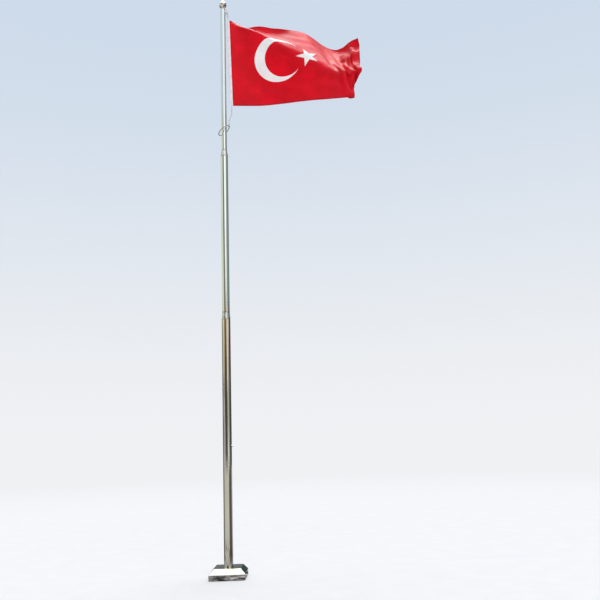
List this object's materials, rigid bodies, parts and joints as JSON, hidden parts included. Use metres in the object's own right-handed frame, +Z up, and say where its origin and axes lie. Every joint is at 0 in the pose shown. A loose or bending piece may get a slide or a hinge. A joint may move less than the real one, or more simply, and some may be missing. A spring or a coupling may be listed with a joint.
{
  "type": "flagpole",
  "caption": "Stainless-steel flagpole in stepped tubes with a square foot cover, a ball finial and a red flag with crescent and star on an internal halyard.",
  "frame": {"origin": "middle of the base flange's underside, at ground level under the mast", "axes": "+Z up along the mast, +X towards the fly of the flag, -Y towards the front"},
  "size_m": [2.25, 0.6856, 8.136],
  "materials": {
    "polished_steel": "mirror polished",
    "cover_steel": "mirror polished sheet, slightly wavy",
    "ball_steel": "mirror polished",
    "galvanised_steel": "hot-dip galvanised",
    "fitting_steel": "satin",
    "ring_steel": "satin",
    "rope": "braided",
    "sheave_plastic": "satin",
    "flag_cloth": "woven polyester with a soft sheen",
    "heading_canvas": "canvas tape"
  },
  "bodies": {
    "mast": {"base_flange": "galvanised_steel", "gusset_front": "galvanised_steel", "gusset_back": "galvanised_steel", "gusset_left": "galvanised_steel", "gusset_right": "galvanised_steel", "base_cover": "cover_steel", "lower_tube": "polished_steel", "lower_reducer": "polished_steel", "middle_tube": "polished_steel", "upper_reducer": "polished_steel", "upper_tube": "polished_steel", "tube_screw": "fitting_steel", "lower_joint_screw": "fitting_steel", "upper_joint_screw": "fitting_steel", "halyard_stud": "fitting_steel", "halyard_block": "fitting_steel", "halyard": "rope", "truck": "polished_steel", "sheave_pin": "fitting_steel", "finial_neck": "polished_steel", "finial_ball": "ball_steel"},
    "sheave": {"sheave": "sheave_plastic"},
    "flag": {"flag_cloth": "flag_cloth", "flag_heading": "heading_canvas", "top_becket": "rope", "foot_becket": "rope", "top_snap": "fitting_steel", "foot_snap": "fitting_steel", "ring_snap": "fitting_steel", "halyard_drop": "rope", "tail_rope": "rope", "retainer_ring": "ring_steel"}
  },
  "joints": [
    {"name": "sheave_spin", "type": "hinge", "parent": "mast", "child": "sheave", "pos_m": [0.04, 0, 7.952], "axis": [0, 1, 0], "continuous": true},
    {"name": "flag_hoist", "type": "slide", "parent": "mast", "child": "flag", "axis": [0, 0, 1], "range_m": [-4.3, 0]}
  ],
  "couplings": [
    {"joint": "sheave_spin", "follows": "flag_hoist", "rad_per_m": -29.412}
  ]
}
